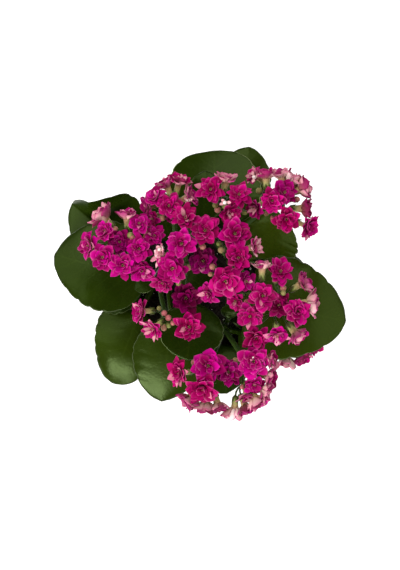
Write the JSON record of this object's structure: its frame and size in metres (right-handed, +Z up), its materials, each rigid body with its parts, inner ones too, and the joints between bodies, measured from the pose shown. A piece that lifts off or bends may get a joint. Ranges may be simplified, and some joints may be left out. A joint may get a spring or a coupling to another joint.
{
  "type": "potted flaming katy",
  "caption": "Flowering succulent in a round nursery pot: upright stems with fleshy scalloped leaves under domed heads of small magenta double blooms and buds.",
  "frame": {"origin": "centre of the pot's flat underside, on the surface that it stands on", "axes": "+Z up the plant; +Y is towards the top of the picture and +X towards its right"},
  "size_m": [0.2169, 0.2047, 0.2429],
  "materials": {
    "pot": "satin",
    "soil": "matte",
    "stem": "satin",
    "leaf": "satin",
    "bloom": "satin"
  },
  "bodies": {
    "root": {"head_centre_left": "bloom", "head_centre_right": "bloom", "head_front_left": "bloom", "head_front_right": "bloom", "head_left": "bloom", "head_low": "bloom", "head_right": "bloom", "head_side": "bloom", "head_top": "bloom", "head_upper_left": "bloom", "head_upper_right": "bloom", "leaf_centre_low": "leaf", "leaf_front_centre": "leaf", "leaf_front_left_inner": "leaf", "leaf_front_left_outer": "leaf", "leaf_front_right": "leaf", "leaf_front_right_low": "leaf", "leaf_front_small": "leaf", "leaf_left_large": "leaf", "leaf_left_low": "leaf", "leaf_left_small": "leaf", "leaf_right_inner": "leaf", "leaf_right_large": "leaf", "leaf_right_low": "leaf", "leaf_right_small": "leaf", "leaf_top_inner": "leaf", "leaf_top_large": "leaf", "leaf_top_low": "leaf", "leaf_upper_left": "leaf", "leaf_upper_left_inner": "leaf", "pot": "pot", "soil": "soil", "stem_front": "stem", "stem_left": "stem", "stem_right": "stem"}
  },
  "joints": []
}
